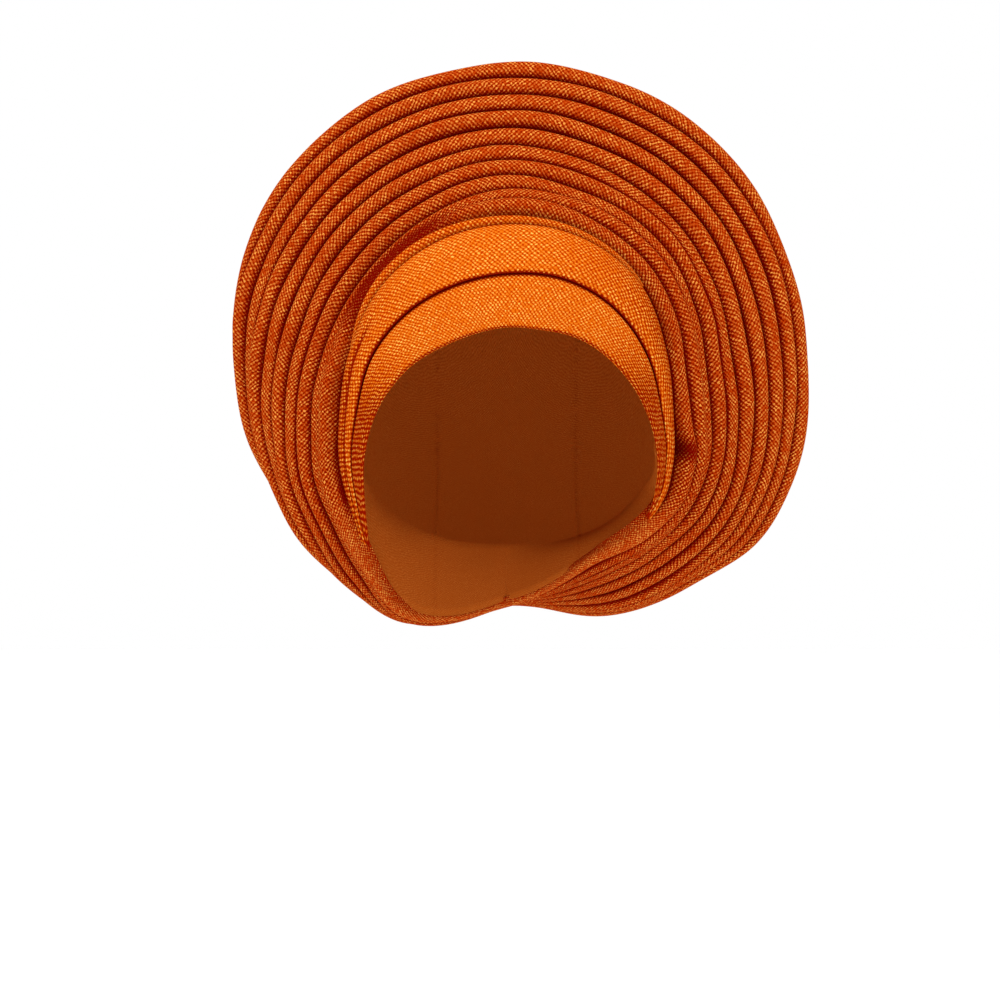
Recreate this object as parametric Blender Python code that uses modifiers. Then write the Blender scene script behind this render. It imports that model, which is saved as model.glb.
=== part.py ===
"""Pleated turban headwrap of woven cloth, ready made to be pulled on.

A thin cap of a middle panel and two side panels sits on the head. Two flat
bands cross the forehead on it, with a narrow rolled fold along their upper
edge. Behind them ten rolled pleats stand up as a fan: each one runs up one
side of the head, over the crown, down the other side and round under the
nape, where all ten are drawn close together and meet the cap's lower edge.
A plain panel closes the back from the last pleat to the nape.

The origin is the point inside the crown where the head bears. The face looks
along -Y, and +Z is up.
"""

import bmesh
import bpy
import numpy as np

# Head that the cap is made for, millimetres. Its middle is this far under the crown.
HEAD_DROP = 95.0
HEAD_HALF_WIDTH = 72.5
HEAD_HALF_DEPTH = 95.0
HEAD_TO_CROWN = 95.0
HEAD_TO_CHIN = 84.0

CAP_WALL = 1.2
BAND_WALL = 2.0
PANEL_WALL = 1.6
GAP = 0.35

PLEAT_SEGMENTS = 44
BAND_SEGMENTS = 38
PANEL_COLUMNS = 40

# Angles round the face, degrees: 0 is the crown, +90 the +X side, 180 the nape.
STATIONS = (-150, -136, -122, -106, -88, -66, -44, -22, 0, 22, 44, 66, 88, 106, 122, 136, 150, 180)

# Outer fold line of each pleat, millimetres out from the middle of the head, at
# each station. The rows go from the pleat behind the forehead bands outwards.
PLEAT_EDGES = (
    (107, 99.5, 94, 91, 88.5, 88, 91.5, 97.5, 100.5, 99, 95.5, 88.5, 85.5, 90, 89, 84.5, 82, 91),
    (109.5, 101.5, 95.5, 94, 92, 91, 94, 99.5, 105.5, 105.5, 103.5, 95.5, 93, 95.5, 92.5, 88.5, 86.5, 91),
    (111, 107.5, 102.5, 102.5, 100.5, 100.5, 103.5, 108.5, 113, 110.5, 107.5, 98.5, 95, 97, 94, 90.5, 88.5, 91),
    (111.5, 110.5, 106.5, 106.5, 105.5, 106.5, 111, 116.5, 121, 119.5, 116, 108.5, 104.5, 104.5, 100.5, 95.5, 93, 91),
    (111, 111.5, 112, 112.5, 113.5, 115.5, 120.5, 125, 128.5, 125.5, 120, 112.5, 109.5, 110, 106, 101, 98.5, 91),
    (111, 111.5, 112, 114, 118, 122, 128, 133.5, 137.5, 135.5, 131.5, 122.5, 118.5, 117.5, 113, 107, 104, 91),
    (110, 112, 115, 119, 125, 131, 137, 143.5, 147, 144.5, 139.5, 131, 125.5, 123.5, 118, 112, 109, 91),
    (110, 111, 114, 118.5, 125.5, 135, 144, 151, 154.5, 154, 149, 140, 133, 129.5, 122, 114, 110, 91),
    (109, 110.5, 113, 119.5, 132, 145.5, 153, 160.5, 164, 162.5, 157.5, 148, 140, 135, 125.5, 115.5, 111.5, 91),
    (108.5, 109.5, 112, 118.5, 130.5, 146, 159, 168, 172, 170.5, 165, 154.5, 147, 141, 129.5, 118, 113.5, 91),
)
# Distance from one pleat to the next, and how far back the first pleat lies.
PLEAT_PITCH = (4.8, 6.4, 7.8, 9.3, 10, 10, 10, 10, 10, 10, 10, 10, 10, 9.4, 8, 6.6, 5, 3.6)
FIRST_PLEAT_BACK = (38, 14, -10, -14, -15, -18, -22, -31, -38, -35, -27, -21, -17, -13, -8, 10, 34, 60)

# The first pleat is a little thinner, because it lies on the cap.
FIRST_PLEAT_SHARE = 0.92

# Lines of the two forehead bands, millimetres out from the middle of the head and back.
# angle, opening edge out and back, fold between the bands out and back, upper edge out and back
BAND_LINES = (
    (-132, 85.4, -1.5, 87.2, 1.0, 89.0, 3.5),
    (-126, 81.5, -16.0, 84.0, -11.5, 86.5, -7.0),
    (-106, 69.0, -42.0, 75.0, -30.5, 81.0, -20.5),
    (-88, 60.0, -59.0, 69.0, -45.5, 77.0, -29.0),
    (-66, 50.5, -73.5, 67.5, -54.5, 78.5, -34.0),
    (-44, 42.5, -84.0, 65.0, -65.5, 83.5, -39.0),
    (-22, 39.0, -88.5, 63.0, -74.5, 86.5, -46.0),
    (0, 39.0, -89.0, 63.5, -76.5, 88.0, -50.0),
    (22, 41.0, -87.0, 66.5, -71.5, 89.0, -46.0),
    (44, 47.5, -80.5, 69.0, -61.0, 87.0, -39.0),
    (66, 55.0, -69.0, 70.0, -50.5, 79.5, -34.0),
    (88, 64.0, -54.0, 71.0, -42.5, 76.5, -31.0),
    (106, 72.5, -39.0, 76.5, -30.0, 80.0, -22.0),
    (117, 77.3, -27.0, 79.4, -22.0, 81.4, -17.0),
    (125, 76.6, -15.5, 78.2, -12.5, 79.8, -9.5),
)
LOWER_BULGE = 2.2
UPPER_BULGE = 3.0

# Rolled fold along the upper edge of the bands: angle, radius. It lies against
# that edge, this many degrees round from straight out.
RIM_LINE = ((-64, 1.0), (-52, 2.2), (-38, 3.3), (-24, 3.8), (-10, 3.8), (4, 3.3), (18, 2.6), (32, 1.8), (44, 1.0))
RIM_LEAN = 55.0

# Where the cap leaves the head behind the ears, as degrees from the face round to the
# back, and the angles between which its front edge turns into its lower one.
NAPE_EDGE = 134.0
EAR_EDGE = 104.0
EDGE_TURNS = (100, 118)
CAP_FRONT_MOST = 70.0
# Half width of the cap's middle panel, and the opening sewn between the panels.
CAP_SEAM = 36.0
PANEL_BACK = 103.0

CLOTH_ORANGE = (0.60, 0.14, 0.012, 1.0)
BAND_ORANGE = (0.82, 0.25, 0.022, 1.0)
LINING_BROWN = (0.28, 0.075, 0.020, 1.0)


def read_round(stations, values, at):
    """Smooth closed curve through values given at angles, read at other angles."""
    angle = np.array(stations, float)
    angle = np.concatenate([angle - 360, angle, angle + 360])
    value = np.tile(np.array(values, float), 3)
    slope = np.gradient(value, angle)
    low = np.clip(np.searchsorted(angle, at, side="right") - 1, 0, len(angle) - 2)
    step = angle[low + 1] - angle[low]
    t = (at - angle[low]) / step
    start = (1 + 2 * t) * (1 - t) ** 2 * value[low] + t * (1 - t) ** 2 * step * slope[low]
    end = t**2 * (3 - 2 * t) * value[low + 1] + t**2 * (t - 1) * step * slope[low + 1]
    return start + end


def in_space(angle, out, back):
    """Points from an angle round the face, a distance out from it and one back."""
    turn = np.radians(angle)
    return np.stack([out * np.sin(turn), back, out * np.cos(turn) - HEAD_DROP], axis=-1)


def head_reach(angle):
    """How far out the head comes at its widest, at an angle round the face."""
    turn = np.radians(angle)
    height = np.where(np.cos(turn) > 0, HEAD_TO_CROWN, HEAD_TO_CHIN)
    return 1 / np.hypot(np.sin(turn) / HEAD_HALF_WIDTH, np.cos(turn) / height)


def cloth(name, colour):
    """Plain cloth material."""
    material = bpy.data.materials.new(name)
    material.use_nodes = True
    shader = material.node_tree.nodes["Principled BSDF"]
    shader.inputs["Base Color"].default_value = colour
    shader.inputs["Roughness"].default_value = 0.8
    return material


def link(name, data, material, collection):
    """Object in the turban's collection, with its material."""
    data.materials.append(material)
    made = bpy.data.objects.new(name, data)
    collection.objects.link(made)
    return made


def rolled(name, points, radii, closed, material, collection):
    """Rolled pleat: a round tube along a line, its radius given at each point."""
    data = bpy.data.curves.new(name, "CURVE")
    data.dimensions = "3D"
    data.bevel_depth = 0.001
    data.bevel_resolution = 2
    data.use_fill_caps = True
    line = data.splines.new("POLY")
    line.points.add(len(points) - 1)
    line.points.foreach_set("co", np.column_stack([points / 1000, np.ones(len(points))]).ravel())
    line.points.foreach_set("radius", radii)
    line.use_cyclic_u = closed
    return link(name, data, material, collection)


def walled(name, rows, closed, wall, material, collection):
    """Cloth wall on a grid of points whose faces look outwards, thickened inwards.

    A last row of one point closes the grid there.
    """
    columns = len(rows[0])
    count = columns if closed else columns - 1
    points = np.concatenate(rows) / 1000
    faces = []
    for row in range(len(rows) - 1):
        first = row * columns
        for column in range(count):
            near = first + column
            far = first + (column + 1) % columns
            if len(rows[row + 1]) == 1:
                faces.append((near, far, len(points) - 1))
            else:
                faces.append((near, far, far + columns, near + columns))
    data = bpy.data.meshes.new(name)
    data.from_pydata(points.tolist(), [], faces)
    made = link(name, data, material, collection)
    thick = made.modifiers.new("wall", "SOLIDIFY")
    thick.thickness = wall / 1000
    thick.offset = -1
    thick.use_even_offset = True
    return made


def pleat_lines():
    """Middle lines of the ten pleats, each a pitch away from the one in front."""
    angle = np.linspace(-180, 180, PLEAT_SEGMENTS, endpoint=False)
    pitch = read_round(STATIONS, PLEAT_PITCH, angle)
    lines = []
    for edges in PLEAT_EDGES:
        out = read_round(STATIONS, edges, angle) - pitch / 2
        if lines:
            before_out, before_back = lines[-1]
            step = np.sqrt(np.maximum(pitch**2 - (out - before_out) ** 2, (0.3 * pitch) ** 2))
            back = before_back + step
        else:
            back = read_round(STATIONS, FIRST_PLEAT_BACK, angle)
        lines.append((out, back))
    return [in_space(angle, out, back) for out, back in lines]


def room(line, other):
    """Distance between two neighbouring lines, square to the first."""
    along = np.roll(line, -1, axis=0) - np.roll(line, 1, axis=0)
    along /= np.linalg.norm(along, axis=1, keepdims=True)
    apart = other - line
    apart -= along * np.sum(apart * along, axis=1, keepdims=True)
    return np.linalg.norm(apart, axis=1)


def add_pleats(material, collection):
    """Ten rolled pleats, each as thick as its neighbours leave room for."""
    lines = pleat_lines()
    between = [np.minimum(room(a, b), room(b, a)) for a, b in zip(lines, lines[1:])]
    for number, line in enumerate(lines):
        near = between[max(number - 1, 0) : number + 1]
        radii = np.min(near, axis=0) / 2 - GAP / 2
        radii = np.minimum(radii, (np.roll(radii, 1) + np.roll(radii, -1)) / 2 + 0.2)
        if number == 0:
            radii = radii * FIRST_PLEAT_SHARE
        rolled(f"pleat_{number + 1:02d}", line, radii, True, material, collection)
    return lines


def band_rows(angle, low, high, bulge):
    """Rows of points from one edge of a band to the other, arched outwards between them."""
    along = high - low
    square = np.stack([along[1], -along[0]]) / np.hypot(*along)
    rows = []
    for across in np.linspace(0, 1, 5):
        out, back = low + along * across + square * bulge * 4 * across * (1 - across)
        rows.append(in_space(angle, out, back))
    return rows


def add_bands(material, collection):
    """Lower and upper forehead bands, and the rolled fold along the upper edge."""
    table = np.array(BAND_LINES)
    angle = np.linspace(table[0, 0], table[-1, 0], BAND_SEGMENTS)
    line = np.array([np.interp(angle, table[:, 0], column) for column in table.T[1:]])
    opening, fold, upper = line[0:2], line[2:4], line[4:6]
    down = (opening - fold) / np.hypot(*(opening - fold))
    lower_rows = band_rows(angle, opening, fold + down * GAP, LOWER_BULGE)
    upper_rows = band_rows(angle, fold, upper, UPPER_BULGE)
    walled("forehead_band_lower", lower_rows, False, BAND_WALL, material, collection)
    walled("forehead_band_upper", upper_rows, False, BAND_WALL, material, collection)
    rim = np.array(RIM_LINE)
    angle = np.linspace(rim[0, 0], rim[-1, 0], 24)
    radius = np.interp(angle, rim[:, 0], rim[:, 1])
    edge = [np.interp(angle, table[:, 0], column) for column in table.T[5:]]
    lean = np.radians(RIM_LEAN)
    out = edge[0] + (radius + GAP) * np.cos(lean)
    back = edge[1] + (radius + GAP) * np.sin(lean)
    rolled("band_rim", in_space(angle, out, back), radius, False, material, collection)


def cap_rows(first_pleat):
    """Rows of points on the cap, from its edge over the head to the middle of the back.

    Behind the ears the edge leaves the head and reaches to the first pleat.
    """
    table = np.array(BAND_LINES)
    angle = np.linspace(-180, 180, PLEAT_SEGMENTS, endpoint=False)
    reach = head_reach(angle) + CAP_WALL
    opening = np.interp(angle, table[:, 0], table[:, 1]) + 8
    front = np.degrees(np.arcsin(np.minimum(opening / reach, np.sin(np.radians(CAP_FRONT_MOST)))))
    below = np.clip((np.abs(angle) - 118) / 62, 0, 1)
    lower = EAR_EDGE + (NAPE_EDGE - EAR_EDGE) * np.sin(below * np.pi / 2)
    away = np.interp(np.abs(angle), EDGE_TURNS, (0, 1))
    away = away**2 * (3 - 2 * away)
    start = (front + 8) * (1 - away) + lower * away

    def on_head(turn):
        turn = np.radians(turn)
        return np.stack([reach * np.sin(turn), -(HEAD_HALF_DEPTH + CAP_WALL) * np.cos(turn)])

    middle = np.stack([np.hypot(first_pleat[:, 0], first_pleat[:, 2] + HEAD_DROP), first_pleat[:, 1]])
    towards = on_head(lower) - middle
    towards /= np.hypot(*towards)
    sewn = middle + towards * (read_round(STATIONS, PLEAT_PITCH, angle) / 2 + CAP_WALL)
    rows = [on_head(front) * (1 - away) + sewn * away]
    rows += [on_head(start + (180 - start) * across) for across in np.linspace(0, 1, 8)[:-1]]
    points = [in_space(angle, out, back) for out, back in rows]
    return points + [np.array([[0, HEAD_HALF_DEPTH + CAP_WALL, -HEAD_DROP]])]


def add_cap(first_pleat, material, collection):
    """Cap of three panels, open at the face and the neck, with a seam each side of the crown."""
    rows = cap_rows(first_pleat)
    seams = {
        "head_cap_left": ((-CAP_SEAM, 1),),
        "head_cap_middle": ((-CAP_SEAM + GAP, -1), (CAP_SEAM - GAP, 1)),
        "head_cap_right": ((CAP_SEAM, -1),),
    }
    for name, cuts in seams.items():
        made = walled(name, rows, True, CAP_WALL, material, collection)
        shell = bmesh.new()
        shell.from_mesh(made.data)
        for place, side in cuts:
            bmesh.ops.bisect_plane(
                shell,
                geom=list(shell.verts) + list(shell.edges) + list(shell.faces),
                plane_co=(place / 1000, 0, 0),
                plane_no=(side, 0, 0),
                clear_outer=True,
            )
        shell.to_mesh(made.data)
        shell.free()


def add_back_panel(last_pleat, material, collection):
    """Panel from behind the last pleat to the back of the head, smoother away from its rim."""
    angle = np.linspace(-180, 180, PANEL_COLUMNS, endpoint=False)
    from_middle = last_pleat + (0, 0, HEAD_DROP)
    around = np.degrees(np.arctan2(from_middle[:, 0], from_middle[:, 2]))
    around[0] = -180
    out = read_round(around, np.hypot(from_middle[:, 0], from_middle[:, 2]), angle)
    pitch = read_round(STATIONS, PLEAT_PITCH, angle)
    back = read_round(around, last_pleat[:, 1], angle) + pitch / 2 + PANEL_WALL + 0.6
    rows = []
    for across in np.linspace(0, 1, 7)[:-1]:
        rise = 1 - (1 - across) ** 1.7
        rows.append(in_space(angle, out * (1 - across), back + (PANEL_BACK - back) * rise))
        for _ in range(3):
            out = (np.roll(out, 1) + 2 * out + np.roll(out, -1)) / 4
            back = (np.roll(back, 1) + 2 * back + np.roll(back, -1)) / 4
    rows.append(np.array([[0, PANEL_BACK, -HEAD_DROP]]))
    walled("back_panel", rows, True, PANEL_WALL, material, collection)


for old in list(bpy.data.objects):
    bpy.data.objects.remove(old, do_unlink=True)
turban = bpy.data.collections.new("pleated_turban")
bpy.context.scene.collection.children.link(turban)

pleats = add_pleats(cloth("pleat cloth", CLOTH_ORANGE), turban)
add_bands(cloth("band cloth", BAND_ORANGE), turban)
add_cap(pleats[0], cloth("cap cloth", LINING_BROWN), turban)
add_back_panel(pleats[-1], cloth("panel cloth", CLOTH_ORANGE), turban)
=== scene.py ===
import bpy
import numpy as np
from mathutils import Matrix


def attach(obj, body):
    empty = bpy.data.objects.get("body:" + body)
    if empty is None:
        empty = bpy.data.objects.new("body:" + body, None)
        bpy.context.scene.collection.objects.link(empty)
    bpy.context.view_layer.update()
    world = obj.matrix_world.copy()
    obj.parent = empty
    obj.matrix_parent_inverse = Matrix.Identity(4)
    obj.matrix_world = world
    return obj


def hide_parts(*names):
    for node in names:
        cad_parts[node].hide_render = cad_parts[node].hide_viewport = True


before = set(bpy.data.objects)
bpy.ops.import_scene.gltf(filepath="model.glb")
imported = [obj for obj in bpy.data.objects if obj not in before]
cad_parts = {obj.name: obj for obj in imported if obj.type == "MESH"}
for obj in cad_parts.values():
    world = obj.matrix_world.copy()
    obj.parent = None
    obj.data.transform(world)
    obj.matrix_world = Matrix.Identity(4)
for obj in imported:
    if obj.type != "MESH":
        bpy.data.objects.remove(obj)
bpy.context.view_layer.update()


# The cap. A close-fitting cap of thin plain lining, a middle panel and two side panels sewn
# together at two seams, which carries everything else. Its front edge lies under the forehead
# bands, and behind the temples it runs out to the first pleat, sewn to it all round the nape.
HOLLOW_ABOVE = 95.0  # millimetres from the middle of the hollow up to the crown, which is at z = 0
HOLLOW_BELOW = 84.0
HOLLOW_HALF_WIDTH = 72.5
HOLLOW_HALF_DEPTH = 95.0
CAP_WALL = 1.2
# columns: angle clockwise from the crown, how far out the cap's front edge lies in millimetres
CAP_FRONT = (
    (-180, 87), (-126, 87), (-106, 77), (-88, 68), (-66, 58.5), (-44, 50.5), (-22, 47), (0, 47),
    (22, 49), (44, 55.5), (66, 63), (88, 72), (106, 80.5), (120, 87), (180, 87),
)
# where the cap is sewn to the first pleat; columns: angle, then the pleat's middle line out from
# the middle of the hollow and back from it, and half of the pleat's thickness, in millimetres
SEWN_LINE = (
    (-180, 89.2, 60, 1.8), (-150, 104.7, 38, 2.4), (-136, 96.3, 14, 3.2), (-122, 90.3, -10, 3.9),
    (-106, 86.9, -14, 4.6), (106, 85.3, -13, 4.7), (122, 84.3, -8, 4.0), (136, 81.2, 10, 3.3),
    (150, 79.5, 34, 2.5), (180, 89.2, 60, 1.8),
)
SEWN_DEEP = 0.8  # how far into the pleat the edge is sewn, as a share of its half thickness
FRONT_MOST = 70  # degrees from the opening round to the back
SIDE_EDGE = 104  # where the lower edge runs at the sides, in the same degrees
NAPE_EDGE = 134
EDGE_TURNS = (100, 118)  # clockwise from the crown, where the front edge becomes the lower one
EDGE_LAP = 4  # degrees of cloth between the front edge and where the dome starts
EDGE_LIFT = 0.8  # how far the front edge stands off the hollow
APRON_BOW = 2.5  # how far the cloth behind the temples bows in
DOME_END = 179  # degrees, just short of the tip that closes the dome
ROUND_STATIONS = 720  # the cap, the pleats and the back panel have a station each half degree
APRON_ROWS = 11
DOME_ROWS = 60
SEAM_OUT = 36.0  # from the middle line to each seam
SEAM_WIDTH = 0.7
SEAM_DEPTH = 0.7


def place(angle, out, back):
    """Points in metres: `out` millimetres from the middle of the hollow towards an angle clockwise
    from the crown, x = out sin(angle) and z = out cos(angle) - 95, and `back` millimetres behind
    it."""
    turn = np.radians(angle)
    x, z = out * np.sin(turn), out * np.cos(turn) - HOLLOW_ABOVE
    return np.stack(np.broadcast_arrays(x, back, z), axis=-1) / 1000


def smooth_row(stations, values, at):
    """Smooth line through values at given angles: on each stretch a cubic whose slope at either
    end is the mean of the slopes before and after it, weighted by their nearness."""
    x, y = np.array(stations, float), np.array(values, float)
    slope = np.gradient(y, x)
    k = np.clip(np.searchsorted(x, at, side="right") - 1, 0, len(x) - 2)
    h = x[k + 1] - x[k]
    t = (at - x[k]) / h
    rise = (1 + 2 * t) * (1 - t) ** 2 * y[k] + t * (1 - t) ** 2 * h * slope[k]
    return rise + t**2 * (3 - 2 * t) * y[k + 1] + t**2 * (t - 1) * h * slope[k + 1]


def hollow_reach(angle):
    """Half width of the hollow seen from the front: an ellipse of 72.5 by 95 mm above its middle
    and of 72.5 by 84 mm below, 1 / sqrt((sin / width)^2 + (cos / height)^2)."""
    turn = np.radians(angle)
    height = np.where(np.cos(turn) > 0, HOLLOW_ABOVE, HOLLOW_BELOW)
    return 1 / np.hypot(np.sin(turn) / HOLLOW_HALF_WIDTH, np.cos(turn) / height)


def piece_of_cloth(name, points, grain, painted_shade, closed, tip=None, tip_grain=None):
    """Mesh through a grid of points, a face between each four neighbours, with rows across the
    cloth and columns along it. The UV map `grain` is each corner's place on the flat cloth in
    metres, and a float attribute holds each point's painted shade, 0 to 1: how dark it is painted,
    as if in the shade of a fold. A closed piece joins its last column to its first, and has one
    column more in `grain` than in the points. A tip closes the last row with a fan of triangles."""
    rows, columns = points.shape[:2]
    row, column = np.indices((rows - 1, columns if closed else columns - 1))
    rows_of = np.stack([row, row, row + 1, row + 1], axis=-1).reshape(-1, 4)
    columns_of = np.stack([column, column + 1, column + 1, column], axis=-1).reshape(-1, 4)
    loops = (rows_of * columns + columns_of % columns).ravel()
    flat = grain[rows_of, columns_of].reshape(-1, 2)
    sizes = np.full(len(rows_of), 4)
    points = points.reshape(-1, 3)
    painted_shade = np.broadcast_to(painted_shade, (rows, columns)).ravel()
    if tip is not None:
        near = np.arange(columns)
        last = (rows - 1) * columns
        fan = [last + near, last + (near + 1) % columns, np.full(columns, len(points))]
        fan_grain = [grain[-1, :-1], grain[-1, 1:], np.broadcast_to(tip_grain, (columns, 2))]
        loops = np.concatenate([loops, np.stack(fan, axis=-1).ravel()])
        flat = np.concatenate([flat, np.stack(fan_grain, axis=1).reshape(-1, 2)])
        sizes = np.concatenate([sizes, np.full(columns, 3)])
        points = np.concatenate([points, [tip]])
        painted_shade = np.append(painted_shade, 0.0)
    mesh = bpy.data.meshes.new(name)
    mesh.vertices.add(len(points))
    mesh.vertices.foreach_set("co", points.ravel())
    mesh.loops.add(len(loops))
    mesh.loops.foreach_set("vertex_index", loops)
    mesh.polygons.add(len(sizes))
    mesh.polygons.foreach_set("loop_start", np.cumsum(sizes) - sizes)
    mesh.update(calc_edges=True)
    mesh.polygons.foreach_set("use_smooth", np.ones(len(sizes), bool))
    mesh.uv_layers.new(name="grain").data.foreach_set("uv", flat.ravel())
    mesh.attributes.new("painted_shade", "FLOAT", "POINT").data.foreach_set("value", painted_shade)
    made = bpy.data.objects.new(name, mesh)
    bpy.context.scene.collection.objects.link(made)
    return made


def linear(hex_colour):
    """Linear colour of an sRGB hex one: c / 12.92 up to 0.04045, and above it
    ((c + 0.055) / 1.055)^2.4."""
    shades = np.array([int(hex_colour[k:k + 2], 16) for k in (0, 2, 4)]) / 255
    shades = np.where(shades <= 0.04045, shades / 12.92, ((shades + 0.055) / 1.055) ** 2.4)
    return (*shades.tolist(), 1.0)


def add_node(tree, kind, inputs=(), **settings):
    """One shader node with its settings, and its inputs by name or number: a value, or an output
    to link. A MapRange takes the range at 1 and 2 to the one at 3 and 4, and a Mix goes from the
    colour at 6 to the one at 7."""
    made = tree.nodes.new("ShaderNode" + kind)
    for name, value in settings.items():
        setattr(made, name, value)
    for name, value in dict(inputs).items():
        if isinstance(value, bpy.types.NodeSocket):
            tree.links.new(value, made.inputs[name])
        else:
            made.inputs[name].default_value = value
    return made.outputs


WANDER_SIZE = 5.882  # millimetres of cloth over which its stitches wander from their straight rows
WANDER_REACH = 3.1  # and how far they would at most
FIBRE_SIZE = 0.6667  # of the loose fibres, drawn as coarse as they need to be to show
PATCH_SIZE = 22.22  # of the patches that hold more or less gold
SHADE_STRETCH = 0.8  # how much the contrast grows under the painted shade of a fold
SHADE_SINK = 0.9  # and how much the stitches sink into that painted shade
GOLD_SHADED = 0.93  # and the share of gold thread that the painted shade hides there


def woven(name, ground, gold, gap, shade_colour, stitch, row, relief, lean, rib, fuzz):
    """Cloth woven in staggered stitches. With u counting repeats of `stitch` millimetres along the
    flat cloth and v repeats of `row` across it, the height is cos(a) + lean cos(b) +
    rib cos(a - b), where a = 2 pi (u + v) and b = 2 pi (u - v). A stitch stands at each peak; a
    `lean` below 1 joins stitches into slanting ribs, and `rib` into rows. The low places have the
    gaps' colour and the high ones the ground's, `fuzz` of loose fibres makes both uneven, and each
    peak has its own chance of gold thread. Painted shade, read from the mesh, darkens the folds:
    there the contrast grows, the stitches sink, the gaps turn to the colour of the shade and then
    all of it does, and 7 per cent of the gold is left."""
    material = bpy.data.materials.new(name)
    material.use_nodes = True
    tree = material.node_tree
    shader = tree.nodes["Principled BSDF"]
    grain = add_node(tree, "UVMap", uv_map="grain")[0]

    wander = {"Vector": grain, "Scale": 1000 / WANDER_SIZE, "Detail": 4.0, "Roughness": 0.65}
    noise = add_node(tree, "TexNoise", wander)["Color"]
    noise = add_node(tree, "VectorMath", {0: noise, 1: (0.5, 0.5, 0.5)}, operation="SUBTRACT")[0]
    furthest = WANDER_REACH / 1000
    drift = add_node(tree, "VectorMath", {0: noise, "Scale": furthest}, operation="SCALE")[0]
    moved = add_node(tree, "VectorMath", {0: grain, 1: drift}, operation="ADD")[0]
    along, across = add_node(tree, "SeparateXYZ", {0: moved})[0:2]
    u = add_node(tree, "Math", {0: along, 1: 1000 / stitch}, operation="MULTIPLY")[0]
    v = add_node(tree, "Math", {0: across, 1: 1000 / row}, operation="MULTIPLY")[0]
    one_way = add_node(tree, "Math", {0: u, 1: v}, operation="ADD")[0]
    other_way = add_node(tree, "Math", {0: u, 1: v}, operation="SUBTRACT")[0]
    height = 0.0
    for turns, times, weight in ((one_way, 1, 1.0), (other_way, 1, lean), (v, 2, rib)):
        turn = add_node(tree, "Math", {0: turns, 1: 2 * np.pi * times}, operation="MULTIPLY")[0]
        wave = add_node(tree, "Math", {0: turn}, operation="COSINE")[0]
        added = {0: wave, 1: weight, 2: height}
        height = add_node(tree, "Math", added, operation="MULTIPLY_ADD")[0]
    height = add_node(tree, "MapRange", {0: height, 1: rib - 1 - lean, 2: rib + 1 + lean})[0]

    fine = {"Vector": grain, "Scale": 1000 / FIBRE_SIZE, "Detail": 2.0, "Roughness": 0.7}
    fibres = add_node(tree, "TexNoise", fine)["Fac"]
    fibres = add_node(tree, "MapRange", {0: fibres, 1: 0.25, 2: 0.75, 3: -fuzz, 4: fuzz})[0]
    uneven_height = add_node(tree, "Math", {0: height, 1: fibres}, operation="ADD")[0]

    # high places take the ground's colour and low ones the gaps'; painted shade darkens the gaps in
    # a fold, and then all of it
    fold = add_node(tree, "Attribute", attribute_name="painted_shade")["Fac"]
    shade_contrast = add_node(tree, "Math", {0: fold, 1: SHADE_STRETCH, 2: 1.0}, operation="MULTIPLY_ADD")[0]
    shade_contrast = add_node(tree, "Math", {0: uneven_height, 1: shade_contrast}, operation="MULTIPLY")[0]
    shaded_height = add_node(tree, "Math", {0: fold, 1: -SHADE_SINK, 2: shade_contrast}, operation="MULTIPLY_ADD")[0]
    smooth = {"interpolation_type": "SMOOTHSTEP"}
    body = add_node(tree, "MapRange", {0: shaded_height, 1: -0.05, 2: 0.5}, **smooth)[0]
    shaded_gap = add_node(tree, "MapRange", {0: fold, 1: 0.1, 2: 0.6}, **smooth)[0]
    shaded_gap = add_node(tree, "Mix", {0: shaded_gap, 6: linear(gap), 7: linear(shade_colour)}, data_type="RGBA")[2]
    colour = add_node(tree, "Mix", {0: body, 6: shaded_gap, 7: linear(ground)}, data_type="RGBA")[2]
    deep_shade = add_node(tree, "MapRange", {0: fold, 1: 0.35, 2: 1.0}, **smooth)[0]
    colour = add_node(tree, "Mix", {0: deep_shade, 6: colour, 7: linear(shade_colour)}, data_type="RGBA")[2]

    # gold on the peaks alone: by stitch, by patch of cloth, and little of it under the deep painted
    # shade of a fold
    whole = [add_node(tree, "Math", {0: way}, operation="ROUND")[0] for way in (one_way, other_way)]
    cell = add_node(tree, "CombineXYZ", {0: whole[0], 1: whole[1]})[0]
    chance = add_node(tree, "TexWhiteNoise", {"Vector": cell})["Value"]
    chance = add_node(tree, "MapRange", {0: chance, 1: 0.0, 2: 0.8, 3: 0.1, 4: 1.0})[0]
    spread = {"Vector": grain, "Scale": 1000 / PATCH_SIZE, "Detail": 3.0}
    patches = add_node(tree, "TexNoise", spread)["Fac"]
    patches = add_node(tree, "MapRange", {0: patches, 1: 0.35, 2: 0.6, 3: 0.6, 4: 1.0})[0]
    left = add_node(tree, "Math", {0: deep_shade, 1: -GOLD_SHADED, 2: 1.0}, operation="MULTIPLY_ADD")[0]
    shine = add_node(tree, "MapRange", {0: shaded_height, 1: 0.5, 2: 0.92}, **smooth)[0]
    for part in (chance, patches, left):
        shine = add_node(tree, "Math", {0: shine, 1: part}, operation="MULTIPLY")[0]
    colour = add_node(tree, "Mix", {0: shine, 6: colour, 7: linear(gold)}, data_type="RGBA")[2]
    tree.links.new(colour, shader.inputs["Base Color"])

    # gold thread is smoother than yarn, and in even light neither has a sheen of its own
    rough = add_node(tree, "MapRange", {0: shine, 1: 0.2, 2: 1.0, 3: 0.8, 4: 0.45})[0]
    tree.links.new(rough, shader.inputs["Roughness"])
    shader.inputs["Specular IOR Level"].default_value = 0.0
    raised = {"Height": height, "Distance": relief / 1000, "Strength": 0.7}
    tree.links.new(add_node(tree, "Bump", raised)[0], shader.inputs["Normal"])
    return material
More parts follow.
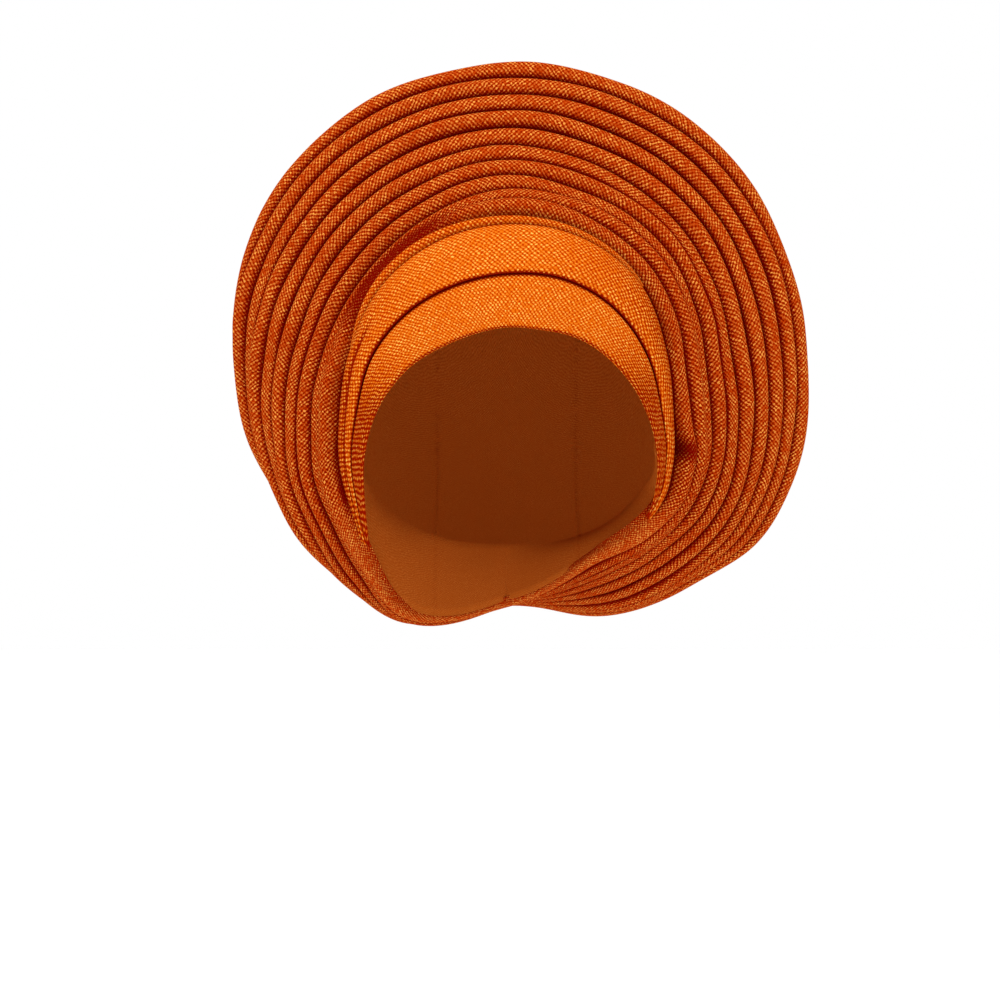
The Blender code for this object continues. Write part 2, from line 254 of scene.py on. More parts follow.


# Plain-woven cotton lining: matt, brown-orange, with an even grain and hardly any relief. Its
# threads are about 0.5 mm apart, too fine to show, so they are drawn 1.1 mm apart, as coarse as
# they need to be.
# its fourth colour is that of the painted shade, here along the seams
plain_lining = woven(
    "plain_woven_lining", ground="ac5216", gold="bc6426", gap="983f0c", shade_colour="5c2206",
    stitch=1.1, row=1.1, relief=0.04, lean=1.0, rib=0.0, fuzz=0.3,
)

round_angle = np.linspace(-180, 180, ROUND_STATIONS, endpoint=False)
reach = hollow_reach(round_angle) + CAP_WALL
front_out = np.interp(round_angle, *np.array(CAP_FRONT).T) / reach
front = np.degrees(np.arcsin(np.minimum(front_out, np.sin(np.radians(FRONT_MOST)))))
to_nape = np.clip((np.abs(round_angle) - EDGE_TURNS[1]) / (180 - EDGE_TURNS[1]), 0, 1)
lower = SIDE_EDGE + (NAPE_EDGE - SIDE_EDGE) * np.sin(to_nape * np.pi / 2)
away = np.clip((np.abs(round_angle) - EDGE_TURNS[0]) / (EDGE_TURNS[1] - EDGE_TURNS[0]), 0, 1)
away = away**2 * (3 - 2 * away)  # 0 along the front edge, 1 along the lower one
start = (front + EDGE_LAP) * (1 - away) + lower * away


def on_dome(turn):
    """Section of the cap over the hollow, for degrees from the opening round to the back:
    out = reach sin(turn) and back = -96.2 cos(turn)."""
    turn = np.radians(turn)
    back = -(HOLLOW_HALF_DEPTH + CAP_WALL) * np.cos(turn)
    return np.stack(np.broadcast_arrays(reach * np.sin(turn), back))


# the apron is the strip from the cap's edge to the dome: a lap in front, the sewn part behind
sewn_angle, *sewn_lines = np.array(SEWN_LINE).T
sewn_out, sewn_back, half_thick = [smooth_row(sewn_angle, line, round_angle) for line in sewn_lines]
middle = np.stack([sewn_out, sewn_back])
inwards = on_dome(lower) - middle
inwards /= np.hypot(*inwards)
middle = middle + inwards * (half_thick * SEWN_DEEP)
share = np.linspace(0, 1, APRON_ROWS)[:-1, None, None]
bow = np.sin(np.pi * share) * APRON_BOW * away
from_edge = on_dome(front) * (1 - away) + middle * away
apron = from_edge * (1 - share) + on_dome(start) * share
apron[:, 0] += EDGE_LIFT * (1 - away) * (1 - share[:, 0]) - bow[:, 0]
dome_turn = start + (DOME_END - start) * np.linspace(0, 1, DOME_ROWS)[:, None]
cap_section = np.concatenate([apron, on_dome(dome_turn).transpose(1, 0, 2)])
from_middle = np.abs(cap_section[:, 0] * np.sin(np.radians(round_angle)))
seam = np.exp(-((from_middle - SEAM_OUT) / SEAM_WIDTH) ** 2)
cap_section[:, 0] -= SEAM_DEPTH * seam * np.clip(np.arange(len(seam)) / 12, 0, 1)[:, None]
cap_points = place(round_angle, cap_section[:, 0], cap_section[:, 1])
wrapped = np.concatenate([cap_points, cap_points[:, :1]], axis=1)
cap_grain = np.stack([wrapped[..., 0], wrapped[..., 2] + wrapped[..., 1]], axis=-1)
cap_tip = (0, (HOLLOW_HALF_DEPTH + CAP_WALL) / 1000, -HOLLOW_ABOVE / 1000)
# the seams get a little painted shade, 0.3 of a fold's, besides their sunk groove
cap = piece_of_cloth("head_cap", cap_points, cap_grain, 0.3 * seam, True, cap_tip, (0, 0.001))
cap_thickness = cap.modifiers.new("cap_thickness", "SOLIDIFY")
cap_thickness.thickness = CAP_WALL / 1000
cap_thickness.offset = -1
cap.data.materials.append(plain_lining)
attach(cap, "root")
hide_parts("head_cap_middle", "head_cap_left", "head_cap_right")


# The forehead bands. Two flat bands of the cloth's bright side, folded double. The upper one laps
# over the top of the lower. They are drawn tight across the front, run down past the temples and
# end under the first pleat, and the rows of their weave fan out as the bands bend.

# columns: angle, then out and back of the opening's edge, of the fold between the bands, and of
# the upper edge, in millimetres
BAND_LINES = (
    (-133, 90.0, 8.0, 90.5, 9.0, 91.0, 10.0),
    (-129, 85.0, -6.0, 87.0, -3.0, 89.0, 0.5),
    (-122, 78.5, -22.0, 82.0, -16.0, 85.5, -10.5),
    (-106, 69.0, -42.0, 75.0, -30.5, 81.0, -20.5),
    (-88, 60.0, -59.0, 69.0, -45.5, 77.0, -29.0),
    (-66, 50.5, -73.5, 67.5, -54.5, 78.5, -34.0),
    (-44, 42.5, -84.0, 65.0, -65.5, 83.5, -39.0),
    (-22, 39.0, -88.5, 63.0, -74.5, 86.5, -46.0),
    (0, 39.0, -89.0, 63.5, -76.5, 88.0, -50.0),
    (22, 41.0, -87.0, 66.5, -71.5, 89.0, -46.0),
    (44, 47.5, -80.5, 69.0, -61.0, 87.0, -39.0),
    (66, 55.0, -69.0, 70.0, -50.5, 79.5, -34.0),
    (88, 64.0, -54.0, 71.0, -42.5, 76.5, -31.0),
    (106, 72.5, -39.0, 76.5, -30.0, 80.0, -22.0),
    (116, 77.0, -27.5, 79.5, -22.0, 82.0, -16.5),
    (121, 79.3, -19.0, 80.5, -15.5, 81.7, -12.0),
    (125, 80.4, -9.5, 80.7, -8.5, 81.0, -7.5),
)
# a band's section from its lower line to its upper one; columns: share of the band's width, more
# along it in millimetres, and out from the hollow in millimetres
LOWER_SHAPE = (
    (0, 7.0, -1.9), (0, 2.0, -2.0), (0, 0.1, -1.4), (0, 0.0, -0.2), (0, 1.2, 0.7), (0.25, 0, 1.6),
    (0.6, 0, 1.9), (0.85, 0, 1.2), (1, -0.6, -0.2), (1, 3.5, -1.8),
)
UPPER_SHAPE = (
    (0, 6.0, -0.5), (0, 1.5, -0.3), (0, -0.3, 0.0), (0, -1.0, 0.9), (0, -0.2, 2.1), (0.15, 0, 3.2),
    (0.45, 0, 3.9), (0.75, 0, 3.0), (0.95, 0, 1.0), (1, 1.4, -1.6), (1, 4.0, -4.2), (1, 7.5, -6.8),
    (1, 13.0, -9.5),
)
FULL_WIDTH = 20  # a band this wide has its shape in full
SECTION_STEPS = 7  # steps between two rows of a shape
FAN_SHARE = 0.4  # how much the rows of the weave turn where the band turns by 1
FAN_SIZE = 65  # the distance from the middle where the flat cloth keeps its scale
TEMPLE_SHADE_DEPTH = 0.6  # how strong the painted shade is that sinks the stitches down the temples
FOLD_SHADOW = 2.4  # width of the painted shadow line in the fold between the bands
CREASE_DEPTH = 1.3  # of the crease in the upper band, down the left temple
CREASE_WIDTH = 0.28  # to either side, in rows of the upper band's shape
LOWER_START = 32.0  # on the flat cloth, from the fan's middle to each band's first row
UPPER_START = 50.0
BAND_STATIONS = 517


def through(controls, steps):
    """Smooth curves through a list of control points, one for each column: between two points a
    cubic, whose slope at a point is half the way from the point before to the point after."""
    c = np.stack(controls)
    slope = np.gradient(c, axis=0)
    t = np.linspace(0, 1, steps, endpoint=False).reshape(-1, 1, 1)
    parts = [
        (1 + 2 * t) * (1 - t) ** 2 * c[k] + t * (1 - t) ** 2 * slope[k]
        + t**2 * (3 - 2 * t) * c[k + 1] + t**2 * (t - 1) * slope[k + 1]
        for k in range(len(c) - 1)
    ]
    return np.concatenate(parts + [c[-1:]])


def band_section(low, high, shape):
    """Section of a band from one of its lines to another: a smooth curve through one point for
    each row of the shape. A point lies a share of the width and some millimetres more along the
    straight line between the two, and some millimetres out from it. Where the band is narrow
    those millimetres shrink with its width, to 0.4 of their size at least."""
    width = np.hypot(*(high - low))
    along = (high - low) / width
    off = np.stack([along[1], -along[0]])
    full = np.clip(width / FULL_WIDTH, 0.4, 1.1)
    controls = [
        low + along * (share * width + more * full) + off * rise * full
        for share, more, rise in shape
    ]
    return through(controls, SECTION_STEPS)


def band_grain(section, angle, start):
    """Place on the flat cloth: with the distance r across the cloth from a middle point, u and v
    are the sine and cosine of 0.4 of the angle, times 65 (r / 65)^0.4 / 0.4, so that the rows turn
    less than half as fast as the band does."""
    step = np.hypot(*np.diff(section, axis=0).transpose(1, 0, 2))
    r = start + np.concatenate([np.zeros((1, step.shape[1])), np.cumsum(step, axis=0)])
    fan = FAN_SIZE * (r / FAN_SIZE) ** FAN_SHARE / FAN_SHARE
    turn = np.radians(angle) * FAN_SHARE
    return np.stack([fan * np.sin(turn), fan * np.cos(turn)], axis=-1) / 1000


# Gold-thread jacquard, bright side out: stiff cloth woven of orange yarn, with flat gold thread
# floating over it. Drawn tight it gives pale gold grains in slanting rows on bright orange, with
# fine red gaps. The real stitches are about 1.7 mm apart, and are drawn 2.1 mm apart in rows of
# 1.4 mm, as coarse as they need to be to show.
# its fourth colour is that of the painted shade in folds and creases
bright_jacquard = woven(
    "gold_thread_jacquard_bright", ground="e26a08", gold="ffc85c", gap="b22a00", shade_colour="8c1000",
    stitch=2.1, row=2.8, relief=0.2, lean=0.65, rib=0.3, fuzz=0.42,
)

band_angle = np.linspace(BAND_LINES[0][0], BAND_LINES[-1][0], BAND_STATIONS)
line_angle, *line_columns = np.array(BAND_LINES).T
opening, fold, upper = np.stack(
    [smooth_row(line_angle, column, band_angle) for column in line_columns]
).reshape(3, 2, -1)
# towards the temples the bands lean away, and painted shade sinks the rows between their stitches
temple_shade = TEMPLE_SHADE_DEPTH * np.clip((np.abs(band_angle + 4) - 52) / 34, 0, 1)

lower_section = band_section(opening, fold, LOWER_SHAPE)
# painted shade under the upper band's edge, and a painted dark line along the turned-in opening
shape_row = np.linspace(0, len(LOWER_SHAPE) - 1, len(lower_section))[:, None]
short_of_fold = np.hypot(*(lower_section - fold).transpose(1, 0, 2)) * np.where(shape_row < 8, 1, 0)
fold_shadow_line = np.clip(1.4 - short_of_fold / FOLD_SHADOW, 0, 1)
turned_edge_shade = np.clip(1 - np.abs(shape_row - 2.8) / 0.9, 0, 1) * 0.8
lower_painted_shade = np.clip(np.maximum(fold_shadow_line + turned_edge_shade, temple_shade), 0, 1)
lower_points = place(band_angle, lower_section[:, 0], lower_section[:, 1])
lower_grain = band_grain(lower_section, band_angle, LOWER_START)
lower_band = piece_of_cloth("lower_forehead_band", lower_points, lower_grain, lower_painted_shade, False)
lower_band.data.materials.append(bright_jacquard)
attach(lower_band, "root")
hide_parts("forehead_band_lower")

upper_section = band_section(fold, upper, UPPER_SHAPE)
# painted shade too where it is turned under along the fold, and where it falls away behind its top
shape_row = np.linspace(0, len(UPPER_SHAPE) - 1, len(upper_section))[:, None]
turned_edge_shade = np.clip(4.0 - shape_row, 0, 1)
behind_top_shade = np.clip((shape_row - 7.6) / 0.7, 0, 1)
upper_temple_shade = TEMPLE_SHADE_DEPTH * np.clip(np.maximum(band_angle - 12, -band_angle - 30) / 50, 0, 1)
upper_temple_shade = upper_temple_shade * np.clip((shape_row - 3) / 4, 0.4, 1)
# down the left temple the band is doubled once more, along a crease sunk in and painted in shade
crease_row = 5.9 + 0.006 * (band_angle + 62)
crease = np.exp(-((shape_row - crease_row) / CREASE_WIDTH) ** 2)
crease = crease * np.clip((-band_angle - 50) / 14, 0, 1)
upper_painted_shade = np.clip(turned_edge_shade + behind_top_shade, 0, 1)
upper_painted_shade = np.maximum(np.maximum(upper_painted_shade, upper_temple_shade), crease)
outwards = upper_section / np.hypot(*upper_section.transpose(1, 0, 2))[:, None]
upper_section = upper_section - CREASE_DEPTH * crease[:, None] * outwards
upper_points = place(band_angle, upper_section[:, 0], upper_section[:, 1])
upper_grain = band_grain(upper_section, band_angle, UPPER_START)
upper_band = piece_of_cloth("upper_forehead_band", upper_points, upper_grain, upper_painted_shade, False)
upper_band.data.materials.append(bright_jacquard)
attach(upper_band, "root")
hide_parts("forehead_band_upper")


# The rim. A narrow fold of the same jacquard, rolled over the upper band's top edge from one
# temple to the other and sewn down along it. It is thickest left of the crown and thins out
# towards both ends.

# columns: angle clockwise from the crown, half of the rim's thickness in millimetres
RIM = (
    (-66, 0.6), (-52, 2.2), (-38, 3.0), (-24, 3.1), (-10, 2.8), (4, 2.5), (18, 2.1), (32, 1.6),
    (46, 0.6),
)
RIM_LEAN = np.radians(55.0)  # how far behind the band's edge its middle lies, round that edge
RIM_GAP = 0.2
RIM_GRAIN = 0.0032  # metres of cloth across the rim for each radian round it
RIM_STATIONS = 225

rim_angle = np.linspace(RIM[0][0], RIM[-1][0], RIM_STATIONS)
rim_radius = smooth_row(*np.array(RIM).T, rim_angle)
rim_edge = np.stack([smooth_row(line_angle, column, rim_angle) for column in line_columns[4:]])
rim_middle = rim_edge + (rim_radius + RIM_GAP) * np.array([[np.cos(RIM_LEAN)], [np.sin(RIM_LEAN)]])
turn = np.radians(np.linspace(-170, 110, 29))[:, None]
rim_out = rim_middle[0] + rim_radius * np.sin(turn)
rim_points = place(rim_angle, rim_out, rim_middle[1] - rim_radius * np.cos(turn))
rim_steps = np.linalg.norm(np.diff(rim_points[len(turn) // 2], axis=0), axis=1)
rim_length = np.concatenate([[0], np.cumsum(rim_steps)])
rim_grain = np.stack(np.broadcast_arrays(rim_length, turn * RIM_GRAIN), axis=-1)
# painted shade on the rim: a little all over, full where it turns under, more on its inner and
# outer sides
inner_side_shade = 2.5 * np.maximum(-np.sin(turn) - 0.55, 0)
outer_side_shade = 2.0 * np.maximum(np.sin(turn) - 0.75, 0)
rim_painted_shade = np.where(turn < -1.5, 1, np.clip(0.25 + inner_side_shade + outer_side_shade, 0, 1))
rim = piece_of_cloth("band_rim_fold", rim_points, rim_grain, rim_painted_shade, False)
rim.data.materials.append(bright_jacquard)
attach(rim, "root")
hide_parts("band_rim")


# The pleats. Ten rolled pleats of the stiff gold-flecked jacquard, each a fold with its round
# nose outwards. They fan out over the crown, run down both sides and are drawn together and sewn
# down under the nape. Each one lies a pleat's thickness behind the one inside it.

# columns: angle clockwise from the crown, then how far out the outer fold line of each pleat lies
# in millimetres, from the innermost to the outermost
PLEAT_EDGES = (
    (-150, 107.1, 109.6, 110.8, 111.3, 111.1, 110.9, 110.3, 110.0, 109.2, 108.5),
    (-136, 99.6, 101.5, 107.7, 110.6, 111.6, 111.4, 111.9, 111.2, 110.5, 109.7),
    (-122, 94.2, 95.7, 102.8, 106.6, 112.0, 111.8, 115.0, 114.1, 113.3, 112.3),
    (-108, 91.7, 94.0, 102.5, 106.2, 112.5, 113.3, 118.0, 117.6, 118.0, 116.9),
    (-94, 87.8, 91.6, 100.3, 105.1, 112.1, 116.2, 122.5, 122.8, 127.8, 125.3),
    (-80, 87.7, 91.1, 99.7, 105.2, 113.5, 118.9, 127.2, 128.0, 135.9, 134.7),
    (-66, 87.9, 91.0, 100.3, 106.3, 115.5, 122.0, 130.9, 134.7, 145.1, 145.2),
    (-52, 89.4, 92.6, 102.5, 109.3, 118.7, 125.9, 135.2, 141.2, 150.0, 155.0),
    (-38, 92.3, 95.5, 105.0, 112.9, 122.1, 130.0, 139.2, 146.8, 156.0, 162.1),
    (-24, 95.3, 98.8, 107.9, 115.9, 124.7, 133.0, 143.3, 150.7, 160.0, 167.5),
    (-10, 99.1, 103.2, 111.5, 119.3, 127.6, 136.2, 145.9, 153.1, 162.5, 170.2),
    (4, 100.4, 105.8, 112.9, 121.3, 128.1, 137.3, 146.5, 154.5, 163.6, 171.7),
    (18, 99.4, 105.4, 110.7, 119.7, 125.9, 135.8, 144.7, 154.0, 162.7, 170.8),
    (32, 98.1, 105.4, 109.8, 118.8, 123.8, 134.5, 142.9, 152.6, 161.2, 169.1),
    (46, 95.6, 103.6, 107.5, 116.2, 119.9, 131.4, 139.7, 148.9, 157.6, 164.7),
    (60, 90.9, 98.3, 101.6, 111.3, 115.1, 125.6, 133.8, 142.9, 151.3, 157.8),
    (74, 86.4, 94.0, 96.4, 106.0, 110.6, 120.5, 128.3, 137.0, 144.8, 151.3),
    (88, 85.6, 93.2, 95.4, 104.5, 109.7, 118.7, 125.7, 133.3, 140.4, 147.1),
    (102, 89.2, 95.5, 97.2, 105.2, 110.4, 118.5, 124.5, 131.3, 137.0, 143.4),
    (116, 90.3, 94.4, 95.8, 102.9, 108.7, 115.6, 121.0, 126.0, 130.8, 135.6),
    (130, 87.0, 90.6, 92.4, 97.3, 103.3, 109.7, 114.7, 117.1, 119.0, 122.1),
    (144, 82.0, 86.5, 88.7, 93.3, 98.7, 104.2, 109.0, 110.1, 111.4, 113.7),
    (180, 91, 91, 91, 91, 91, 91, 91, 91, 91, 91),
)
# columns: angle, distance from one pleat to the next, and how far back the first one lies
PLEAT_LAY = (
    (-150, 4.8, 38), (-136, 6.4, 14), (-122, 7.8, -10), (-106, 9.3, -14), (-88, 10, -15),
    (-66, 10, -18), (-44, 10, -22), (-22, 10, -31), (0, 10, -38), (22, 10, -35), (44, 10, -27),
    (66, 10, -21), (88, 10, -17), (106, 9.4, -13), (122, 8, -8), (136, 6.6, 10), (150, 5, 34),
    (180, 3.6, 60),
)
EDGE_IN = 0.53  # from a pleat's fold line in to its middle line, as a share of that distance
TO_NEXT = 0.492  # just short of half way to the next pleat, as a share of the way there
PLEAT_HALF = 0.49  # half of a pleat across its nose, as a share of that distance
NOSE_REACH = 1.25  # how far the nose stands out from the middle line, in halves of a pleat
NOSE_ROUND = 0.83  # about 2 / 2.4, where 1 would make the nose round and 0 square
SIDE_REACH = 1.8  # how far the two sides run back from it
EDGE_UNEVEN = 0.25  # about how many millimetres a fold line wanders
FULLNESS_UNEVEN = 0.03  # and by what share a pleat is more or less full
PLEAT_UNIT = 0.0049  # metres of cloth for half a pleat
# the first pleat is nipped in right of the opening, and lies back behind the rim's left end:
# where that is, in degrees, how wide it is, and how far back the pleat lies there
PINCH_AT, PINCH_WIDTH, PINCH_BACK = 100, 5, 2.5
VALLEY_AT, VALLEY_WIDTH, VALLEY_BACK = -38, 26, 5.5
RIBS_ONE_WAY = (0, 2, 3, 6, 9)  # the pleats, counted from 0, whose ribs lean the one way


def smooth_round(stations, values, at):
    """The same smooth line, closed: it runs on from 180 degrees to -180."""
    x = np.concatenate([np.array(stations) + whole_turn for whole_turn in (-360, 0, 360)])
    return smooth_row(x, np.tile(values, 3), at)


def uneven(at, size, seed):
    """Slight unevenness of sewn cloth round a pleat: the sum of six sines of random phase and
    strength, each with 4 to 17 waves."""
    made = np.random.default_rng(seed)
    waves, phases = made.integers(4, 18, 6), made.random(6) * 2 * np.pi
    strengths = made.normal(0, 0.4, 6)
    sines = np.sin(waves[:, None] * np.radians(at) + phases[:, None])
    return size * np.sum(strengths[:, None] * sines, axis=0)


# The same jacquard, looser and turned over: deep orange yarn with dark red gaps, and gold grains
# on the noses of the folds, which painted shade dims deep in them. Its stitches are about 2 mm
# apart, and are drawn 2.25 mm apart in rows of 1.2 mm, as coarse as they need to be to show.
# its fourth colour is that of the painted shade between the pleats
deep_jacquard = woven(
    "gold_thread_jacquard_deep", ground="b63400", gold="fbae4c", gap="7e0c00", shade_colour="760300",
    stitch=2.25, row=2.4, relief=0.24, lean=0.66, rib=0.0, fuzz=0.45,
)

edge_angle, *edge_columns = np.array(PLEAT_EDGES).T
lay_angle, lay_pitch, lay_back = np.array(PLEAT_LAY).T
pitch = smooth_round(lay_angle, lay_pitch, round_angle)
edges = np.stack([
    smooth_round(edge_angle, column, round_angle) + uneven(round_angle, EDGE_UNEVEN, number)
    for number, column in enumerate(edge_columns)
])
# each pleat's middle line lies one distance from the last, as far back as its own edge leaves room
middles = [np.stack([edges[0] - EDGE_IN * pitch, smooth_round(lay_angle, lay_back, round_angle)])]
for edge in edges[1:]:
    out = edge - EDGE_IN * pitch
    back_squared = np.maximum(pitch**2 - (out - middles[-1][0]) ** 2, (0.3 * pitch) ** 2)
    middles.append(np.stack([out, middles[-1][1] + np.sqrt(back_squared)]))
middles = np.stack(middles)
steps = np.diff(middles, axis=0)
steps = np.concatenate([steps[:1], steps, steps[-1:]])  # from the pleat before, to the one after

# The nose of a fold is a rounded square, |across|^2.4 + |forward|^2.4 = 1, with the two sides of
# the fold running back from it. Each half reaches just short of the middle between two pleats.
nose = np.radians(np.linspace(-90, 90, 31))
side = np.linspace(1, 0, 5)[:-1]
nose_across = np.sign(np.sin(nose)) * np.abs(np.sin(nose)) ** NOSE_ROUND
nose_forward = np.cos(nose) ** NOSE_ROUND * NOSE_REACH
across_share = np.concatenate([-1 + 0.25 * side, nose_across, 1 - 0.25 * side[::-1]])[:, None, None]
forward_share = np.concatenate([-SIDE_REACH * side, nose_forward, -SIDE_REACH * side[::-1]])
forward_share = forward_share[:, None, None]
outside = across_share[:, 0] > 0
band_top = np.interp(round_angle, line_angle, line_columns[4], left=0, right=0)
under_band = np.minimum(band_top + 1, edges[0] - 4)
band_top = np.where(band_top > 0, under_band, edges[0] - pitch)
pinch = np.exp(-((round_angle - PINCH_AT) / PINCH_WIDTH) ** 2)
valley = np.exp(-((round_angle - VALLEY_AT) / VALLEY_WIDTH) ** 4)
from_crown = np.abs(round_angle)
for number, middle in enumerate(middles):
    first, last = number == 0, number == len(middles) - 1
    before, after = steps[number], steps[number + 1]
    forward = np.stack([(before + after)[1], -(before + after)[0]])
    forward = forward / np.hypot(*forward) * PLEAT_HALF * np.hypot(*(before + after)) / 2
    fullness = 1 + uneven(round_angle, FULLNESS_UNEVEN, 50 + number)
    if first:
        before = before * (1 - 0.3 * pinch)
        laid_back = PINCH_BACK * pinch + VALLEY_BACK * valley
        middle = middle + np.stack([0.15 * pitch * pinch, laid_back])
    sideways = np.minimum(across_share, 0) * before + np.maximum(across_share, 0) * after
    section = middle + TO_NEXT * sideways + forward_share * forward * fullness

    # painted shade reddens the cloth towards the pleat inside it, over 0.54 to 0.36 of what shows
    # of a pleat
    inner = band_top if first else edges[number - 1]
    covered = np.minimum(inner, edges[number] - 0.35 * pitch)
    seen = (np.maximum.accumulate(section[:, 0]) - covered) / (edges[number] - covered)
    shade_from_inner = 1.5 - seen / 0.14 if first else 1.12 - seen / (0.54 - 0.02 * number)
    painted_shade = np.clip(shade_from_inner, 0, 1) ** 1.1
    # and painted shade where the sides of two folds touch
    free = np.where(outside, 0.6, 0.85 if first else 0.6)
    free = free - 0.14 * np.clip((from_crown - 96) / 20, 0, 1)
    touching_shade = np.clip((np.abs(across_share[:, 0]) - free) / (0.98 - free), 0, 1)
    touching_shade = np.where(forward_share[:, 0] < 0, np.where(outside, 0.4, 1), touching_shade)
    if first:
        shade_to_band = 0.7 * np.clip(0.15 - forward_share[:, 0] / SIDE_REACH, 0, 1)
        touching_shade = np.where(outside, touching_shade, shade_to_band)
    painted_shade = np.maximum(painted_shade, np.where(outside & last, 0, touching_shade))
    # the inner pleats are in the others' shade, and all of them are down the right side
    shade = 0.2 - 0.035 * number + 0.16 * np.clip((round_angle - 85) / 30, 0, 1)
    painted_shade = np.maximum(painted_shade, shade)
    # low down the first pleat's painted shade gives way to painted shade where it touches at the
    # nape, and a painted shadow fills the valley behind the rim and the pinch
    if first:
        low = np.clip((from_crown - 116) / 10, 0, 1)
        nape_shade = np.clip(0.45 - across_share[:, 0] * 0.6, 0, 0.75) * touching_shade
        painted_shade = painted_shade * (1 - low) + low * nape_shade
        valley_shadow = np.clip(1.8 - seen * 0.9, 0, 0.86) * np.maximum(valley, pinch)
        painted_shade = np.maximum(painted_shade, valley_shadow)
    # the second pleat is painted in shadow too where it shows in the valley
    if number == 1:
        painted_shade = np.maximum(painted_shade, np.clip(1.4 - seen * 0.9, 0, 0.86) * valley)

    points = place(round_angle, section[:, 0], section[:, 1])
    nose_line = points[len(points) // 2]
    nose_line = np.concatenate([nose_line, nose_line[:1]])
    nose_steps = np.linalg.norm(np.diff(nose_line, axis=0), axis=1)
    length = np.concatenate([[0], np.cumsum(nose_steps)])
    over = np.hypot(np.diff(across_share.ravel()), np.diff(forward_share.ravel()))
    over = np.concatenate([[0], np.cumsum(over)]) * PLEAT_UNIT
    slant = 1 if number in RIBS_ONE_WAY else -1
    from_next = 0.037 * number  # each pleat shows another part of the cloth
    grain = np.broadcast_arrays(slant * length[None, :], over[:, None] + from_next)
    grain = np.stack(grain, axis=-1)
    node_name = f"pleat_{number + 1:02d}"
    pleat = piece_of_cloth(f"rolled_{node_name}", points, grain, painted_shade, True)
    pleat.data.materials.append(deep_jacquard)
    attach(pleat, "root")
    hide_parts(node_name)


# The back panel. A plain piece of the same jacquard that closes the back. It is sewn behind the
# last pleat and at the nape, where it is slightly gathered, and lies smooth over the cap.
PANEL_BACK = 103.0  # how far back it reaches behind the middle of the hollow
PANEL_FORWARD = 0.5  # where it starts at the last pleat: this far in front of the fold's side
PANEL_CLEAR = 0.35  # and this far out from it
PANEL_ROWS = 48
EVENED = 40  # times that each row is evened out against the one before it
GATHER_DEPTH = 1.3
GATHER_WAVES = 36
GATHERED = 42  # degrees to either side of the nape

panel_start = section[-3] + PANEL_FORWARD * forward / np.hypot(*forward)
panel_out, panel_back = panel_start + PANEL_CLEAR * after / np.hypot(*after)
near_nape = np.exp(-((180 - from_crown) / GATHERED) ** 2)
ripple = GATHER_DEPTH * np.sin(np.radians(round_angle) * GATHER_WAVES) * near_nape
panel_sections = []
for across in np.arange(PANEL_ROWS) / PANEL_ROWS:
    rise = 1 - (1 - across) ** 1.7
    gathers = ripple * np.sin(np.pi * np.clip(across / 0.7, 0, 1))
    back = panel_back + (PANEL_BACK - panel_back) * rise + gathers
    panel_sections.append(np.stack([panel_out * (1 - across), back]))
    for _ in range(EVENED):
        panel_out = (np.roll(panel_out, 1) + 2 * panel_out + np.roll(panel_out, -1)) / 4
        panel_back = (np.roll(panel_back, 1) + 2 * panel_back + np.roll(panel_back, -1)) / 4
panel_section = np.stack(panel_sections)
panel_points = place(round_angle, panel_section[:, 0], panel_section[:, 1])
wrapped = np.concatenate([panel_points, panel_points[:, :1]], axis=1)
panel_grain = wrapped[..., [0, 2]]
panel_tip = (0, PANEL_BACK / 1000, -HOLLOW_ABOVE / 1000)
tip_grain = (0, -HOLLOW_ABOVE / 1000)
panel = piece_of_cloth(
    "back_panel_cloth", panel_points, panel_grain, 0.0, True, panel_tip, tip_grain
)
panel.data.materials.append(deep_jacquard)
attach(panel, "root")
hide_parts("back_panel")


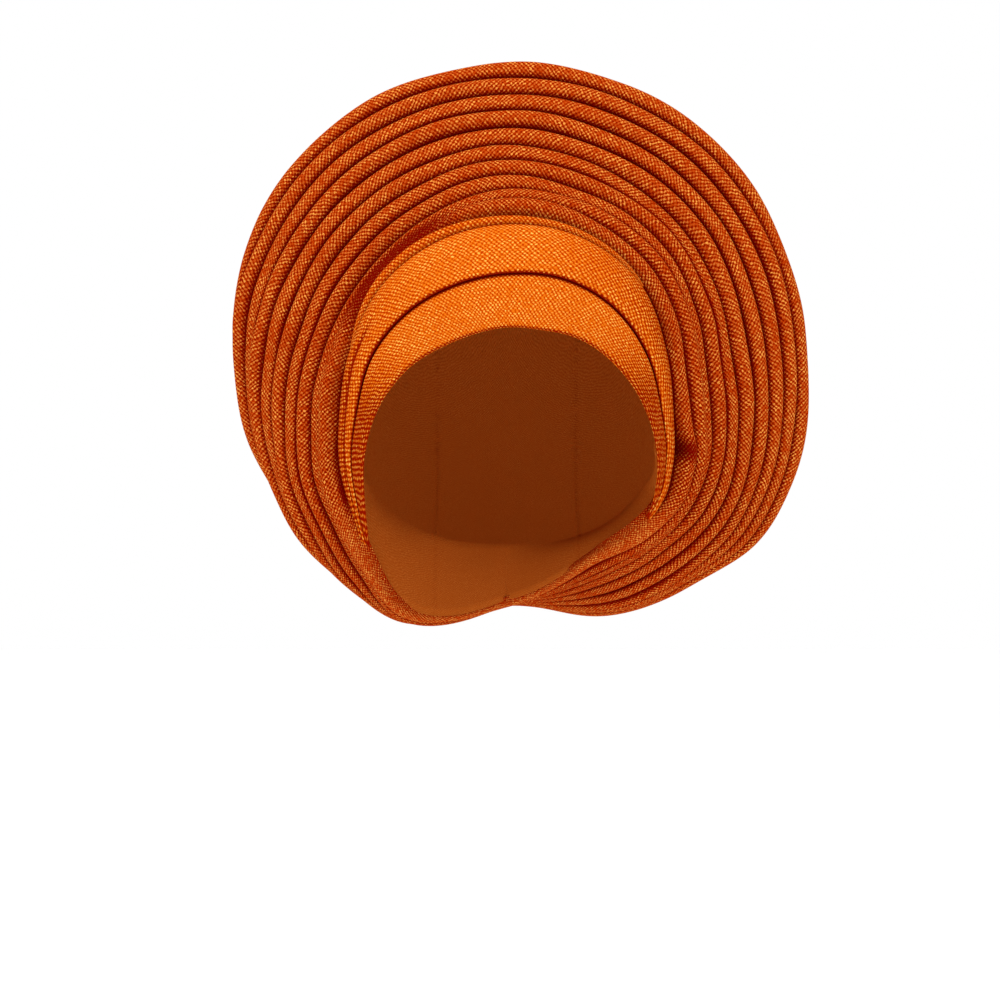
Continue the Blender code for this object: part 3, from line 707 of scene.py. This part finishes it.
# The studio. A pale painted floor well below the headwrap, a white surround that lights it
# evenly, one large soft light above the front, and the camera level with the lower band's ends.
FLOOR_REACH = 4
FLOOR_LEVEL = -0.42
CAMERA_SPOT = (-0.0033, -1.3, -0.133)
CAMERA_LENS = 98.6  # millimetres, on a sensor 36 wide
LIGHT_SPOT = (-0.15, -0.7, 1.3)
LIGHT_AIM = (0, 0, -0.06)
LIGHT_SIZE = 0.8
LIGHT_POWER = 8  # watts

floor_mesh = bpy.data.meshes.new("floor")
floor_corners = [(x * FLOOR_REACH, y * FLOOR_REACH, FLOOR_LEVEL) for x, y in (
    (-1, -1), (1, -1), (1, 1), (-1, 1),
)]
floor_mesh.from_pydata(floor_corners, [], [(0, 1, 2, 3)])
floor = bpy.data.objects.new("floor", floor_mesh)
bpy.context.scene.collection.objects.link(floor)
# matt white paint, rolled on: it gives the eye nothing but an even pale ground
floor_paint = bpy.data.materials.new("matt_white_paint")
floor_paint.use_nodes = True
floor_paint.node_tree.nodes["Principled BSDF"].inputs["Base Color"].default_value = linear("ffffff")
floor_paint.node_tree.nodes["Principled BSDF"].inputs["Roughness"].default_value = 0.9
floor_mesh.materials.append(floor_paint)

surround = bpy.data.worlds.new("white_surround")
surround.use_nodes = True
surround.node_tree.nodes["Background"].inputs["Color"].default_value = (1.0, 1.0, 1.0, 1.0)
surround.node_tree.nodes["Background"].inputs["Strength"].default_value = 1.0
bpy.context.scene.world = surround


def soft_light(name, spot, aim, size, power):
    """Square soft light at a spot, turned to face the point that it is aimed at: tilted by the
    angle between straight down and its aim, then turned round to the aim's heading."""
    data = bpy.data.lights.new(name, "AREA")
    data.size, data.energy = size, power
    made = bpy.data.objects.new(name, data)
    bpy.context.scene.collection.objects.link(made)
    made.location = spot
    towards = np.array(aim) - np.array(spot)
    tilt = np.arctan2(np.hypot(towards[0], towards[1]), -towards[2])
    made.rotation_euler = (tilt, 0, np.arctan2(towards[1], towards[0]) - np.pi / 2)


soft_light("top_light", LIGHT_SPOT, LIGHT_AIM, LIGHT_SIZE, LIGHT_POWER)

camera_data = bpy.data.cameras.new("camera")
camera_data.sensor_width = 36
camera_data.lens = CAMERA_LENS
camera = bpy.data.objects.new("camera", camera_data)
bpy.context.scene.collection.objects.link(camera)
camera.location = CAMERA_SPOT
camera.rotation_euler = (np.pi / 2, 0, 0)
bpy.context.scene.camera = camera
bpy.context.scene.view_settings.view_transform = "Standard"
